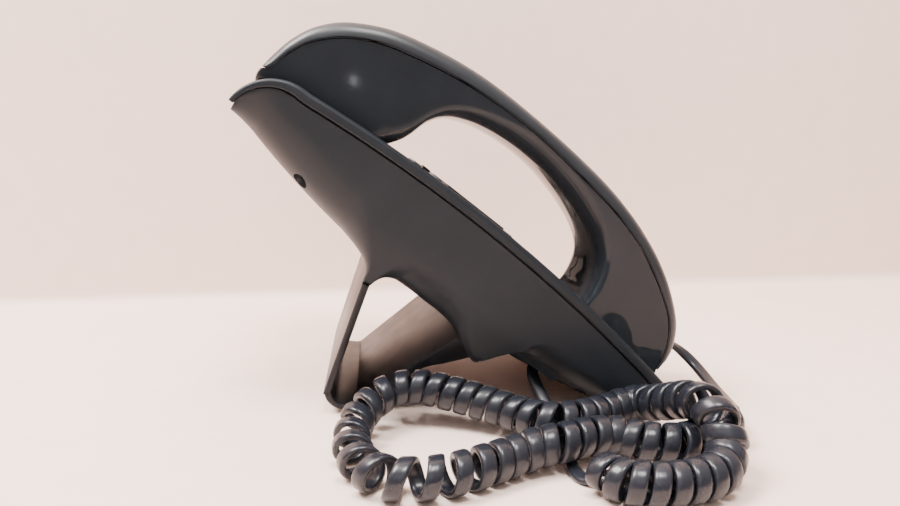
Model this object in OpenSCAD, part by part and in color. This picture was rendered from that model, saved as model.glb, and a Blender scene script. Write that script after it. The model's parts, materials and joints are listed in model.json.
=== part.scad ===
// Corded desk telephone: a leaf-shaped body with a handset lane on the left and a key lane
// on the right, a bent strap stand, and a curly handset cord. The user sits on the -Y side.

/* [Body] */
// Width of the body
body_w = 132; // [130:1:140]
// Slope of the face above the horizontal
tilt = 38.65; // [38.6:0.05:38.7]
// Wall thickness of the front housing
skin = 2.5; // [2:0.1:3]
// Height of the front housing's rim above the dark groove
rim_h = 4.2; // [3.5:0.1:4.6]
// Width of the groove between the two housings
groove = 1.0; // [0.6:0.1:1.4]
// Wall thickness of the rear housing
rear_wall = 2.2; // [1.8:0.1:2.4]

/* [Handset] */
// Width of the handset
handset_w = 48; // [44:1:48]
// Middle of the handset lane across the body
handset_x = -36; // [-37:0.5:-35]
// Side play of the handset in its wells
well_play = 0.6; // [0.4:0.1:0.8]
// Width of the gap between the handset's cover and its shell
seam_gap = 0.8; // [0.5:0.1:1]

/* [Keys] */
// Middle of the key lane across the body
keys_x = 26; // [25:0.5:27]
// Key spacing across the body
pitch_x = 18; // [17:0.5:19]
// Key spacing down the slope
pitch_s = 14.5; // [14:0.5:15]
// Height of a key above the face
key_proud = 1.4; // [1:0.1:2.5]

/* [Stand] */
// Thickness of the strap
strap_t = 3; // [2.5:0.1:3.2]
// Width of the stand where it stands on the table
stand_w_low = 93; // [80:1:100]
// Width of the stand where it joins the body
stand_w_high = 124; // [110:1:124]

/* [Cord] */
// Outer diameter of the curly part
coil_d = 14.4; // [12:0.2:14.4]
// Width of the flat cord
flat_w = 4.8; // [4:0.1:5]
// Thickness of the flat cord
flat_t = 2.4; // [2:0.1:2.5]

/* [Hidden] */
$fn = 48;

matte = [0.13, 0.14, 0.145];
gloss = [0.05, 0.07, 0.09];
slate = [0.17, 0.18, 0.20];
steel = [0.7, 0.7, 0.72];
board_green = [0.05, 0.3, 0.15];

half_w = body_w / 2;

// The face frame: s runs down the slope from its origin, n stands square to the face.
face_y = 65.9;
face_z = 134.7;
foot_h = 1;

// The face is a shallow arc that curls over at the top end and rounds off at the front tip.
crown_s = 83;
crown_n = 5.5;
crown_r = 650;
curl_s = 4.5;
curl_n = -19;
curl_r = 20;
curl_taper = 0.55;
tip_s = 199;
tip_n = -8.1;
tip_r = 3.2;
belly_s = 92;
belly_n = -37.6;
belly_r = 350;
belly_end_s = 181.3;
rear_end_s = 195.4;
side_round = 18;

function crown(s) = crown_n - pow(s - crown_s, 2) / (2 * crown_r);
function belly(s) = belly_n + pow(s - belly_s, 2) / (2 * belly_r);
function level_n(s, z) = (z - face_z + s * sin(tilt)) / cos(tilt);
function to_side(s, n) = [face_y - s * cos(tilt) - n * sin(tilt), face_z - s * sin(tilt) + n * cos(tilt)];
function reverse(p) = [for (i = [len(p) - 1:-1:0]) p[i]];
function arc(c, r, a0, a1, n) = [for (i = [0:n]) let (a = a0 + (a1 - a0) * i / n) c + r * [cos(a), sin(a)]];
function curl(off) = [for (a = [180:-8:92])
  let (r = curl_r - off * (1 - curl_taper * (a - 90) / 90)) [curl_s + r * cos(a), curl_n + r * sin(a)]];
function crown_line(s0, s1, off) = [for (i = [0:12]) let (s = s0 + (s1 - s0) * i / 12) [s, crown(s) - off]];
function belly_line(s0, s1, off) = [for (i = [0:12]) let (s = s0 + (s1 - s0) * i / 12) [s, belly(s) + off]];
function tip(off) = arc([tip_s, tip_n], tip_r - off, 90, -40, 8);
function under_crown(s0, s1, n0) = concat(crown_line(s0, s1, 0.4), [[s1, n0], [s0, n0]]);

// Catmull-Rom curve through hand-chosen points
function knot(p, i) = p[min(max(i, 0), len(p) - 1)];
function blend(a, b, c, d, t) = 0.5 * (2 * b + (c - a) * t + (2 * a - 5 * b + 4 * c - d) * t * t
  + (3 * b - a - 3 * c + d) * t * t * t);
function along(p, t) = let (i = min(floor(t), len(p) - 2))
  blend(knot(p, i - 1), knot(p, i), knot(p, i + 1), knot(p, i + 2), t - i);
function curve(p, step) = [for (k = [0:floor((len(p) - 1) / step)]) along(p, k * step)];

module on_face() { translate([0, face_y, face_z]) rotate([tilt, 0, 0]) children(); }
module side_prism(points, x0, x1) {
  translate([x0, 0, 0]) rotate([90, 0, 90]) linear_extrude(x1 - x0) polygon([for (p = points) [-p[0], p[1]]]);
}
module slope_prism(points, s0, s1) {
  translate([0, -s0, 0]) rotate([90, 0, 0]) linear_extrude(s1 - s0) polygon(points);
}
module level_prism(points, x0, x1) {
  translate([x0, 0, 0]) rotate([90, 0, 90]) linear_extrude(x1 - x0) polygon(points);
}
module block(x0, x1, s0, s1, n0, n1) { translate([x0, -s1, n0]) cube([x1 - x0, s1 - s0, n1 - n0]); }
module post(x, s, n0, n1, d) { translate([x, -s, n0]) cylinder(d = d, h = n1 - n0); }
module pad(x, s, w, h, n0, n1, r) {
  block(x - w / 2, x + w / 2, s - h / 2 + r, s + h / 2 - r, n0, n1);
  block(x - w / 2 + r, x + w / 2 - r, s - h / 2, s + h / 2, n0, n1);
  for (i = [-1, 1], j = [-1, 1]) post(x + i * (w / 2 - r), s + j * (h / 2 - r), n0, n1, 2 * r);
}

// Wells that hold the two ends of the handset
handset_x0 = handset_x - handset_w / 2;
handset_x1 = handset_x + handset_w / 2;
well_x0 = handset_x0 - well_play;
well_x1 = handset_x1 + well_play;
well_wall = 2;
tab_s = 59.2;
tab_w = 9.6;
tab_h = 3.6;
tab_proud = 1.3;
tab_gap = 0.2;
well_n = -10;
ear_s1 = 47;
mouth_s0 = 141;
mouth_s1 = 191;
open_n = 30;

// Screws through the rear housing, placed in the corners
screw_places = [[-56, 22], [57, 22], [-56, 166], [57, 166]];
board_screw_places = [for (i = [-1, 1], s = [50, 174]) [keys_x + i * 24, s]];
screw_d = 2.9;
screw_hole_d = 3;
screw_head_d = 5.6;
recess_d = 6.6;
split_n = -17;

// Key lane
display_x0 = keys_x - 27;
display_x1 = keys_x + 27;
display_s0 = 9;
display_s1 = 48;
glass_t = 1.3;
key_gap = 0.35;
key_travel = 1.2;
flange_t = 1.2;
flange_w = 1.2;
flange_clear = 0.4;
rocker_drop = 0.6;
stem_n = -3.6;
axle_d = 2;
axle_l = 2.4;
mat_n0 = -6;
mat_n1 = -5;
dome_n = -4.9;
board_n0 = -8;
board_n1 = -6.4;
digit_w = 14;
digit_h = 9.5;
digit_s0 = 97;
function digit_x(i) = keys_x + (i % 3 - 1) * pitch_x;
function digit_s(i) = digit_s0 + floor(i / 3) * pitch_s;
soft_s = 58.5;
soft_w = 11;
soft_h = 6;
soft_pitch = 13.6;
function soft_x(i) = keys_x + (i - 1.5) * soft_pitch;
scroll_s = 77;
scroll_w = 34;
scroll_h = 18;
ok_d = 10;
low_s = 163;
low_w = 11;
low_h = 8;
low_x = 19.5;
volume_w = 20;
volume_h = 7;
scroll_axis_n = 0.9;
volume_axis_n = -4.1;

// Microswitch and plunger of the hook, under the ear well
hook_x = handset_x;
hook_s = 24;
plunger_d = 7.8;
plunger_clear = 0.05;
plunger_top = -9.35;
hook_flange_n = -17.9;

// Loudspeaker under the slots between the wells
speaker_s = 84;
speaker_d = 40;
slot_w = 30;
slot_h = 2;
slot_pitch = 5;
grille_half = 14.5;
grille_w = 32;
grille_n = 6.3;

mic_s = 186;

// Jacks
lan_s = 90;
lan_x = [-8, 10];
lan_w = 13.6;
lan_h = 12;
lan_n0 = belly_n + 0.5;
lan_n1 = -24;
jack_board_n0 = -23.9;
jack_board_t = 1.6;
power_x = 27;
cord_jack_x = -52;
cord_jack_s = 144;
recess_n = -25;
recess_x0 = -60;
recess_x1 = -46;
jack_gap = 0.3;
power_d = 11;
roof_t = 2;

module skin_profile(off0, off1) {
  side_prism(concat(curl(off0), crown_line(6, tip_s - 0.1, off0), tip(off0),
    reverse(concat(curl(off1), crown_line(6, tip_s - 0.1, off1), tip(off1)))), -half_w, half_w);
}
module rim_wall(x0, x1) {
  side_prism(concat(curl(0), crown_line(6, tip_s - 0.1, 0), tip(0),
    reverse(concat(curl(rim_h), crown_line(6, 195.8, rim_h)))), x0, x1);
}
module key_cut(x, s, w, h) {
  dx = w / 2 + key_gap;
  ds = h / 2 + key_gap;
  block(x - dx, x + dx, s - ds, s + ds, -8, 12);
}
module speaker_slot(s) {
  block(handset_x - slot_w / 2, handset_x + slot_w / 2, s - slot_h / 2, s + slot_h / 2, -4, 12);
}
module face_cuts() {
  seat0 = display_s0 - 0.1;
  seat1 = display_s1 + 0.1;
  side_prism(concat(crown_line(seat0, seat1, -3), reverse(crown_line(seat0, seat1, glass_t + 0.05))),
    display_x0 - 0.1, display_x1 + 0.1);
  block(display_x0 + 3, display_x1 - 3, display_s0 + 3, display_s1 - 3, -8, 12);
  for (i = [0:11]) key_cut(digit_x(i), digit_s(i), digit_w, digit_h);
  for (i = [0:3]) key_cut(soft_x(i), soft_s, soft_w, soft_h);
  key_cut(keys_x, scroll_s, scroll_w, scroll_h);
  key_cut(keys_x, low_s, volume_w, volume_h);
  for (i = [-1, 1]) key_cut(keys_x + i * low_x, low_s, low_w, low_h);
  for (i = [-2:2]) speaker_slot(speaker_s + i * slot_pitch);
  block(hook_x - tab_w / 2 - tab_gap, hook_x + tab_w / 2 + tab_gap,
    tab_s - tab_h / 2 - tab_gap, tab_s + tab_h / 2 + tab_gap, -4, 12);
  post(keys_x, mic_s, -12, 6, 1.6);
  block(keys_x - 8, keys_x + 8, 0.9, 4.6, -8, 8);
}

module front_housing() color(matte) on_face() difference() {
  union() {
    skin_profile(0, skin);
    for (x = [-half_w, half_w - skin]) rim_wall(x, x + skin);
    side_prism(under_crown(-8, ear_s1 + well_wall, well_n - well_wall),
      well_x0 - well_wall, well_x1 + well_wall);
    side_prism(under_crown(mouth_s0 - well_wall, mouth_s1 + well_wall, well_n - well_wall),
      well_x0 - well_wall, well_x1 + well_wall);
    block(handset_x - grille_w / 2, handset_x + grille_w / 2,
      speaker_s - grille_half, speaker_s + grille_half, 4, grille_n);
    for (p = screw_places) post(p[0], p[1], split_n, p[0] < 0 ? well_n - 1 : crown(p[1]) - 1, 7);
    for (p = board_screw_places) post(p[0], p[1], board_n1, crown(p[1]) - 1, 5);
  }
  block(well_x0, well_x1, -30, ear_s1, well_n, open_n);
  block(well_x0, well_x1, mouth_s0, mouth_s1, well_n, open_n);
  post(hook_x, hook_s, -14, -8, plunger_d + 2 * plunger_clear);
  face_cuts();
  for (p = screw_places) post(p[0], p[1], split_n - 1, split_n + 5, screw_hole_d);
  for (p = board_screw_places) post(p[0], p[1], board_n1 - 1, board_n1 + 2.5, 2.7);
}

module rear_lens(top_off, wall, side) {
  low = belly_n + side_round;
  intersection() {
    side_prism(concat(curl(top_off), crown_line(6, rear_end_s - wall, top_off),
      [[rear_end_s - wall, level_n(rear_end_s - wall, foot_h) + wall]],
      reverse(belly_line(wall > 0 ? -9 : -12.9, belly_end_s, wall))), -half_w, half_w);
    slope_prism(concat([[-side, 10]], arc([-side + side_round - wall, low], side_round - wall, 180, 270, 10),
      arc([side - side_round + wall, low], side_round - wall, 270, 360, 10), [[side, 10]]), -30, 220);
  }
}
module ridges() {
  rear = [[50, -20], [54, -35.5], [60, -37.5], [63.3, -40.5], [64.7, -44.8],
    [68, -44.5], [69.2, -40.2], [72.5, -37], [78, -20]];
  front = [[98, -20], [104, -37.5], [108, -38], [110.4, -40.7],
    [121, -44.9], [127, -35.8], [132, -27.5], [137, -20]];
  for (p = [rear, front]) side_prism(p, -stand_w_high / 2, stand_w_high / 2);
}
module rear_housing() color(matte) on_face() {
  rear_side = half_w - 0.8;
  difference() {
    union() {
      difference() {
        union() {
          rear_lens(rim_h + groove, 0, rear_side);
          ridges();
        }
        rear_lens(-4, rear_wall, rear_side - rear_wall);
      }
      for (p = screw_places) post(p[0], p[1], belly(p[1]) + 1, split_n - 0.1, 9);
      block(-rear_side + 1, -44, cord_jack_s - 17, cord_jack_s + 8, belly_n + 3, recess_n + roof_t);
    }
    for (p = screw_places) {
      post(p[0], p[1], -45, split_n - 3, recess_d);
      post(p[0], p[1], -45, split_n + 1, screw_hole_d + 0.4);
    }
    block(recess_x0, recess_x1, cord_jack_s - 15, cord_jack_s + 6, -46, recess_n);
    block(cord_jack_x - 4.1, cord_jack_x + 4.1, cord_jack_s - 3.3, cord_jack_s + 3.3,
      recess_n - 1, recess_n + roof_t + 1);
    for (x = lan_x) block(x - lan_w / 2 - jack_gap, x + lan_w / 2 + jack_gap,
      lan_s - lan_h / 2 - jack_gap, lan_s + lan_h / 2 + jack_gap, -46, -30);
    post(power_x, lan_s, -46, -30, power_d + 0.4);
  }
}

// The strap goes down from the rear ridge, turns under, and climbs to the front ridge.
module stand() color(matte) {
  corner = [51.7, 10];
  corner_r = 9;
  outer = concat([to_side(64.7, -44.8)], arc(corner, corner_r, 20, -90, 8),
    [[47, 1], [22.5, 18.3], [10.5, 21.4], to_side(121, -44.9)]);
  inner = concat([to_side(110.4, -40.7), [36.5, 12.2], [47.5, 4.4]],
    arc(corner, corner_r - strap_t, -90, 20, 8), [to_side(68, -44.5)]);
  intersection() {
    level_prism(concat(outer, inner), -70, 70);
    translate([0, 80, 0]) rotate([90, 0, 0]) linear_extrude(100)
      polygon([[-stand_w_low / 2, 0], [stand_w_low / 2, 0], [stand_w_high / 2, 58],
        [stand_w_high / 2, 62], [-stand_w_high / 2, 62], [-stand_w_high / 2, 58]]);
  }
}
module stand_feet() color("dimgray") for (x = [-38, 18]) translate([x, 47.2, 0]) cube([20, 4.3, foot_h]);
module base_feet() color("dimgray") for (x = [-46, 46]) translate([x, -69.5, 0])
  cylinder(d = 13, h = foot_h - 0.02);

module display_window() color([0.02, 0.03, 0.04]) on_face()
  side_prism(concat(crown_line(display_s0, display_s1, 0),
    reverse(crown_line(display_s0, display_s1, glass_t))), display_x0, display_x1);
module display_module() color("lightslategray") on_face()
  block(display_x0 + 2, display_x1 - 2, display_s0 + 2, display_s1 - 1, board_n1, -1.4);
module keypad_mat() color("gainsboro") on_face() {
  block(keys_x - 27, keys_x + 27, 53, 156, mat_n0, mat_n1);
  for (i = [0:11]) post(digit_x(i), digit_s(i), mat_n1, dome_n, 5);
  for (i = [0:3]) post(soft_x(i), soft_s, mat_n1, dome_n, 4);
}
module main_board() color(board_green) on_face() difference() {
  block(keys_x - 28, keys_x + 28, 6, 176, board_n0, board_n1);
  for (s = [22, 166]) post(57, s, -9, 0, 9);
  for (p = board_screw_places) post(p[0], p[1], -9, 0, 3);
}
module board_screws() color(steel) on_face() for (p = board_screw_places) {
  post(p[0], p[1], board_n0 - 2, board_n0, 4.6);
  post(p[0], p[1], board_n0 - 1, board_n1 + 2, 2.6);
}
module jack_board() color(board_green) on_face()
  block(-22, 40, lan_s - 14, lan_s + 14, jack_board_n0, jack_board_n0 + jack_board_t);
module network_jacks() color("silver") on_face() for (x = lan_x) difference() {
  block(x - lan_w / 2, x + lan_w / 2, lan_s - lan_h / 2, lan_s + lan_h / 2, lan_n0, lan_n1);
  block(x - 5.9, x + 5.9, lan_s - 3.6, lan_s + 3.6, lan_n0 - 1, lan_n0 + 11);
}
module power_jack() color([0.06, 0.06, 0.06]) on_face() difference() {
  post(power_x, lan_s, lan_n0, lan_n1, power_d);
  post(power_x, lan_s, lan_n0 - 1, lan_n0 + 9, 6.4);
}
module handset_jack() color([0.08, 0.08, 0.08]) on_face() difference() {
  block(cord_jack_x - 6, cord_jack_x + 6, cord_jack_s - 6, cord_jack_s + 6,
    recess_n + roof_t + 0.1, well_n - well_wall - 0.5);
  block(cord_jack_x - 3.9, cord_jack_x + 3.9, cord_jack_s - 3.1, cord_jack_s + 3.1, recess_n, -15);
}
module loudspeaker() color([0.2, 0.2, 0.2]) on_face()
  translate([handset_x, -speaker_s, 0]) rotate_extrude()
    polygon([[0, -10.8], [9, -10.8], [9, -5.8], [18, -0.3], [speaker_d / 2, -0.3],
      [speaker_d / 2, 2], [17, 2], [8, -2.8], [0, -2.8]]);
module microphone() color(steel) on_face() post(keys_x, mic_s, -10.6, -6.6, 9.6);
module hook_microswitch() color([0.1, 0.1, 0.1]) on_face()
  block(hook_x - 5, hook_x + 5, hook_s - 3, hook_s + 3, -28, hook_flange_n - 0.3);
module message_lamp() color("firebrick") on_face()
  side_prism(concat(crown_line(1.1, 4.4, -0.4), [[4.4, -4], [1.1, -4]]), keys_x - 7.8, keys_x + 7.8);
module wall_tab() color(matte) on_face() {
  top = crown(tab_s) - skin - 0.2;
  block(hook_x - tab_w / 2, hook_x + tab_w / 2, tab_s - tab_h / 2, tab_s + tab_h / 2,
    top - 0.5, crown(tab_s) + tab_proud);
  block(hook_x - tab_w / 2 - 1, hook_x + tab_w / 2 + 1, tab_s - tab_h / 2 - 1, tab_s + tab_h / 2 + 1,
    top - 1.2, top);
}
module housing_screws() color(steel) on_face() for (p = screw_places) {
  post(p[0], p[1], split_n - 5.2, split_n - 3, screw_head_d);
  post(p[0], p[1], split_n - 3.5, split_n + 4.5, screw_d);
}

// A key cap rises from a flange that the face keeps in; its stem faces the mat.
function flange_top(s, h) =
  min(crown(s - h / 2 - flange_w), crown(s + h / 2 + flange_w)) - skin - flange_clear;
module key_body(x, s, w, h, r, proud, drop = 0) {
  top = flange_top(s, h) - drop;
  pad(x, s, w, h, top - 0.1, crown(s) + proud, r);
  dx = w / 2 + flange_w;
  ds = h / 2 + flange_w;
  block(x - dx, x + dx, s - ds, s + ds, top - flange_t, top);
}
module stem(x, s, h) { post(x, s, stem_n, flange_top(s, h) - 0.2, 4); }
module digit_key(i) color([0.2, 0.21, 0.22]) on_face() {
  key_body(digit_x(i), digit_s(i), digit_w, digit_h, 2, key_proud);
  stem(digit_x(i), digit_s(i), digit_h);
}
module soft_key(i) color([0.2, 0.21, 0.22]) on_face() {
  key_body(soft_x(i), soft_s, soft_w, soft_h, 1.5, key_proud - 0.4);
  stem(soft_x(i), soft_s, soft_h);
}
module low_key(side) color([0.2, 0.21, 0.22]) on_face()
  key_body(keys_x + side * low_x, low_s, low_w, low_h, 2, key_proud - 0.6);
module scroll_rocker() color([0.15, 0.16, 0.17]) on_face() difference() {
  union() {
    key_body(keys_x, scroll_s, scroll_w, scroll_h, 5, key_proud, rocker_drop);
    for (i = [-1, 1]) translate([keys_x + i * (scroll_w / 2 + flange_w), -scroll_s, scroll_axis_n])
      rotate([0, 90, 0]) cylinder(d = axle_d, h = axle_l, center = true);
  }
  post(keys_x, scroll_s, -8, 12, ok_d + 1.2);
}
module ok_key() color([0.25, 0.26, 0.27]) on_face()
  post(keys_x, scroll_s, stem_n, crown(scroll_s) + key_proud - 0.3, ok_d);
module volume_rocker() color([0.2, 0.21, 0.22]) on_face() {
  key_body(keys_x, low_s, volume_w, volume_h, 2.5, key_proud - 0.6, rocker_drop);
  for (i = [-1, 1]) translate([keys_x, -low_s + i * (volume_h / 2 + flange_w), volume_axis_n])
    rotate([90, 0, 0]) cylinder(d = axle_d, h = axle_l, center = true);
}

module hook_plunger() color(matte) on_face() {
  post(hook_x, hook_s, hook_flange_n, plunger_top, plunger_d);
  post(hook_x, hook_s, hook_flange_n, hook_flange_n + 1.5, 11);
}

// Handset outlines in the face frame, from the ear end to the mouth end
cover_top = [[-15.6, -2], [-12.8, 14], [-1, 30.5], [20, 41.8], [50, 48.2], [82, 49.4], [115, 47.5],
  [148, 40.5], [170, 30.2], [184, 19], [189.4, 9], [189.6, 3]];
seam = [[-13, -1.8], [-10.6, 3], [-3, 19.4], [9, 29], [28, 36.4], [54, 41.6], [82, 43.4], [112, 41.2],
  [140, 36.6], [160, 28.8], [174, 20.4], [182, 11.5], [184.8, 3]];
shell_low = [[182, -8.2], [178, -9], [148, -9], [143.8, -6], [142.6, 6], [140, 16.5], [131, 27], [115, 33.4],
  [88, 35.5], [68, 34], [54, 28.6], [46.6, 16.5], [45.2, 11.2], [41.5, 6.5], [33, -6], [28, -9],
  [-8, -9], [-13, -7.5], [-14.6, -4]];
core = [[-10, -5], [-9, 12], [3, 27.5], [24, 38.4], [52, 45], [82, 46.8], [114, 44.9], [146, 37.6],
  [168, 27], [180, 17], [182.6, 6], [178, -6], [150, -6.2], [146, 8], [142, 20], [131, 31], [112, 36.6],
  [88, 38.2], [66, 37], [50, 30], [43.4, 18], [38, 9], [26, -6], [-6, -6]];
handset_wall = 2.4;
seam_pull = 0.008;
handset_bosses = [[27.5, -1, 41], [158, -5.5, 34]];
socket_n = 12;
socket_s = 190;
plug_w = 7.4;
plug_t = 5.6;

module plug_slot() {
  block(handset_x - plug_w / 2 - 0.3, handset_x + plug_w / 2 + 0.3, 178, 196,
    socket_n - plug_t / 2 - 0.3, socket_n + plug_t / 2 + 0.3);
}
module handset_core() side_prism(curve(core, 0.5), handset_x0 + handset_wall, handset_x1 - handset_wall);
module handset_cover() color(matte) on_face() difference() {
  union() {
    difference() {
      side_prism(concat(curve(cover_top, 0.34), reverse(curve(seam, 0.34))), handset_x0, handset_x1);
      handset_core();
    }
    for (p = handset_bosses) post(handset_x, p[0], p[1], p[2], 4.4);
  }
  plug_slot();
  for (p = handset_bosses) post(handset_x, p[0], p[1] - 1, 6, 2.1);
}
module handset_shell() color(gloss) on_face() difference() {
  side_prism(concat([for (p = curve(seam, 0.34)) p + [(crown_s - p[0]) * seam_pull, -seam_gap]],
    curve(shell_low, 0.5)), handset_x0 + 0.4, handset_x1 - 0.4);
  handset_core();
  for (i = [-2:2]) block(handset_x - 1, handset_x + 1, 8 + i * 4, 10 + i * 4, -12, -4);
  post(handset_x, 168, -12, -4, 2);
  plug_slot();
  for (p = handset_bosses) {
    post(handset_x, p[0], -12, -6.9, 3.4);
    post(handset_x, p[0], -12, 0, 2.4);
  }
}
module earpiece() color([0.1, 0.1, 0.1]) on_face() post(handset_x, 10, -5.6, 2, 28);
module mouth_microphone() color(steel) on_face() post(handset_x, 168, -5.6, -0.6, 9.6);
module handset_weight() color(steel) on_face() block(handset_x - 14, handset_x + 14, 92, 112, 38.1, 44.2);
module handset_socket() color([0.1, 0.1, 0.1]) on_face() difference() {
  block(handset_x - 6, handset_x + 6, 164.5, 178.6, socket_n - 4.6, socket_n + 4.6);
  block(handset_x - plug_w / 2 - 0.1, handset_x + plug_w / 2 + 0.1, 168, 181, socket_n - 2.9, socket_n + 2.9);
}
module handset_screws() color(steel) on_face() for (p = handset_bosses) {
  post(handset_x, p[0], -8.8, -7, 3);
  post(handset_x, p[0], -8, 4, 2);
}
module handset_plug() color([0.1, 0.1, 0.1]) on_face()
  block(handset_x - plug_w / 2, handset_x + plug_w / 2, 169, socket_s,
    socket_n - plug_t / 2, socket_n + plug_t / 2);
module base_plug() color([0.1, 0.1, 0.1]) on_face()
  block(cord_jack_x - plug_w / 2, cord_jack_x + plug_w / 2,
    cord_jack_s - plug_t / 2, cord_jack_s + plug_t / 2, recess_n - 2.5, -15.5);

// Cord routes: the curly part lies in two loose loops beside the body
coil_route = [
  [-93, -94.5, 8.5], [-97, -87.5, 8], [-103, -78.5, 7.3], [-107, -68.5, 7.3], [-105, -56.5, 7.5],
  [-101, -46.5, 8.5], [-103, -36.5, 9.5], [-107, -26.5, 9.8], [-108, -17.5, 8.8], [-111, -7.5, 7.5],
  [-116, 2.5, 7.3], [-121, 13.5, 7.3], [-123, 24.5, 7.3], [-121, 35.5, 7.3], [-112, 43.5, 7.3],
  [-98, 47.5, 7.3], [-84, 47.5, 8], [-74, 44.5, 10.5], [-66, 38.5, 13], [-62, 30.5, 15.2],
  [-62, 20.5, 15.5], [-65, 10.5, 14], [-69, 0.5, 12], [-75, -9.5, 10.3], [-83, -18.5, 9.8],
  [-89, -26.5, 10], [-87.5, -36.5, 9.8], [-82, -46.5, 8.8], [-76, -56.5, 8.8], [-75, -65.5, 10],
  [-81, -71.5, 12.5], [-92, -71.5, 17.5], [-106, -68.5, 23.2], [-117, -68.5, 24], [-123, -72.5, 19],
  [-125.5, -76, 12.5], [-129, -72.5, 8.5], [-134, -63.5, 7.3], [-136, -51.5, 7.3], [-134, -42.5, 7.3],
  [-130, -37.5, 7.3], [-124, -33.5, 7.3]
];
handset_tail_route = [
  [-36, -90.4, 25.2], [-36.5, -95, 21.8], [-38, -100.5, 17.5], [-42, -104.5, 13], [-50, -106, 9.5],
  [-60, -105.5, 8], [-70, -104, 8], [-80, -101.5, 9], [-87.5, -98.6, 10.5], [-91.6, -96, 11]
];
base_tail_route = [
  [-52, -28.7, 22], [-53, -27.2, 19.2], [-56, -26.6, 15.8], [-61, -29, 9.5], [-66, -31, 5],
  [-72, -31.5, 2], [-82, -31, 1.5], [-92, -30.5, 1.5], [-104, -29.5, 1.5], [-112, -28.5, 1.5],
  [-119, -30.3, 1.6], [-124, -33.5, 2]
];

function unit(v) = v / norm(v);
// Each ring stands square to the route; w lies along the side vector and t across it.
function ring(c, dir, ref, w, t, n) = let (side = unit(cross(dir, ref)), up = cross(side, dir))
  [for (i = [0:n - 1]) c + side * (w / 2) * cos(i * 360 / n) + up * (t / 2) * sin(i * 360 / n)];
module tube(route, step, ref, w, t, n) {
  p = curve(route, step);
  m = len(p);
  points = [for (i = [0:m - 1]) each ring(p[i], unit(p[min(i + 1, m - 1)] - p[max(i - 1, 0)]), ref, w, t, n)];
  walls = [for (i = [0:m - 2], j = [0:n - 1])
    [i * n + j, i * n + (j + 1) % n, (i + 1) * n + (j + 1) % n, (i + 1) * n + j]];
  start = [for (j = [n - 1:-1:0]) j];
  end = [for (j = [0:n - 1]) (m - 1) * n + j];
  polyhedron(points, concat([start], walls, [end]), 10);
}
module cord_coil() color(slate) tube(coil_route, 0.75, [0, 0, 1], coil_d, coil_d, 10);
module cord_handset_tail() color(slate) tube(handset_tail_route, 0.75, [0, 0, 1], flat_w, flat_t, 8);
module cord_base_tail() color(slate) tube(base_tail_route, 1, [-0.6, 0, 0.8], flat_w, flat_t, 8);

front_housing();
rear_housing();
stand();
stand_feet();
base_feet();
display_window();
display_module();
keypad_mat();
main_board();
jack_board();
network_jacks();
power_jack();
handset_jack();
loudspeaker();
microphone();
hook_microswitch();
message_lamp();
wall_tab();
housing_screws();
board_screws();
hook_plunger();
digit_key(0);  // key_1
digit_key(1);  // key_2
digit_key(2);  // key_3
digit_key(3);  // key_4
digit_key(4);  // key_5
digit_key(5);  // key_6
digit_key(6);  // key_7
digit_key(7);  // key_8
digit_key(8);  // key_9
digit_key(9);  // key_star
digit_key(10);  // key_0
digit_key(11);  // key_hash
soft_key(0);  // soft_key_1
soft_key(1);  // soft_key_2
soft_key(2);  // soft_key_3
soft_key(3);  // soft_key_4
scroll_rocker();
ok_key();
volume_rocker();
low_key(-1);  // speaker_key
low_key(1);  // mute_key
handset_cover();
handset_shell();
earpiece();
mouth_microphone();
handset_weight();
handset_socket();
handset_screws();
handset_plug();
cord_handset_tail();
cord_coil();
cord_base_tail();
base_plug();
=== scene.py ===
"""Looks of a corded desk telephone: handset, sloping body, strap stand and curly cord."""
import json
import math
import random

import bmesh
import bpy
import numpy as np
from mathutils import Matrix, Vector


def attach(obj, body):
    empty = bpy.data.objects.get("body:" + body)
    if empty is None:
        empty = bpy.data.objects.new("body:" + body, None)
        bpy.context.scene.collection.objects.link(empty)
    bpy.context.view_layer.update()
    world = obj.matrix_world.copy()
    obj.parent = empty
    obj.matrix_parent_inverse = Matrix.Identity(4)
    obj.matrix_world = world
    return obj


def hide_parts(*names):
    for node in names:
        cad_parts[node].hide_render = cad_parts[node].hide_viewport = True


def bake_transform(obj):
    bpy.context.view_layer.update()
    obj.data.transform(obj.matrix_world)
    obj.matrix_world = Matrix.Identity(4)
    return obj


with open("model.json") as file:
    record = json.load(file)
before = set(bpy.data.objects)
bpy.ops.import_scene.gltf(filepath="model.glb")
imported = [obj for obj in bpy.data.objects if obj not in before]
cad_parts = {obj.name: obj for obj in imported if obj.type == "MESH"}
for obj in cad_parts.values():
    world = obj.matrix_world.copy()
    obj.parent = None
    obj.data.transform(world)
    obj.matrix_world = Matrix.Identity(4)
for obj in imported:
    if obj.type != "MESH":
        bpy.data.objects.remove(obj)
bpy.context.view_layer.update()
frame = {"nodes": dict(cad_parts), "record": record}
nodes = frame["nodes"]
MM = 0.001

# ---------------------------------------------------------------- curves and frames

# All sizes are in mm up to the point where a mesh is made.
# The face frame: s runs down the slope, n stands square to the face.
TILT = math.radians(38.65)
FACE_Y, FACE_Z = 65.9, 134.7
# The face and the underside are arcs: where their middles lie, and their radii.
CROWN_S, CROWN_N, CROWN_R = 83, 5.5, 650
BELLY_S, BELLY_N, BELLY_R = 92, -37.6, 350


def face(x, s, n):
    """A point of the face frame, in metres in the row frame."""
    y = FACE_Y - s * math.cos(TILT) - n * math.sin(TILT)
    z = FACE_Z - s * math.sin(TILT) + n * math.cos(TILT)
    return (x * MM, y * MM, z * MM)


def crown(s):
    """The face's height n down the slope."""
    return CROWN_N - (s - CROWN_S) ** 2 / (2 * CROWN_R)


def belly(s):
    """The underside's height n down the slope, between and beyond the two ridges."""
    return BELLY_N + (s - BELLY_S) ** 2 / (2 * BELLY_R)


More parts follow.
